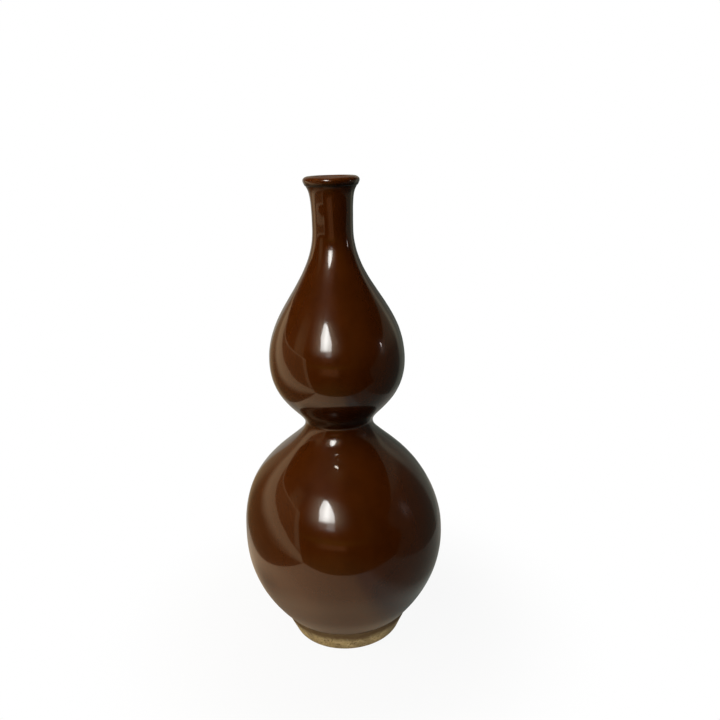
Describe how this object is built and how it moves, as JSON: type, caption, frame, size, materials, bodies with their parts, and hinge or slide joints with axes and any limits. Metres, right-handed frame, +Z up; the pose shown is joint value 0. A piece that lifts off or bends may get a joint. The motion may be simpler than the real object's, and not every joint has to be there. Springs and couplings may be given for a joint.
{
  "type": "gourd vase",
  "caption": "Double-gourd vase with a pinched waist, slim neck, rolled lip and bare foot ring, glazed inside and out; stands on a flat surface and holds stems in water.",
  "frame": {"origin": "centre of the foot ring's standing face, on the surface that the vase stands on", "axes": "+Z up along the axis that every piece is turned about; X and Y lie in the standing face, and -Y faces the viewer"},
  "size_m": [0.13, 0.13, 0.3],
  "materials": {
    "bare_clay": "bare fired stoneware with fine grit",
    "luting_slip": "bare fired slip, darkened by the glaze beside it",
    "brown_glaze": "gloss",
    "lining_glaze": "gloss"
  },
  "bodies": {
    "root": {"foot_ring": "bare_clay", "lower_bowl": "bare_clay", "lower_dome": "bare_clay", "upper_bowl": "bare_clay", "upper_neck": "bare_clay", "lip_ring": "bare_clay", "foot_slip": "luting_slip", "lower_belly_slip": "luting_slip", "waist_slip": "luting_slip", "upper_belly_slip": "luting_slip", "lip_slip": "luting_slip", "outer_glaze": "brown_glaze", "inner_glaze": "lining_glaze"}
  },
  "joints": []
}
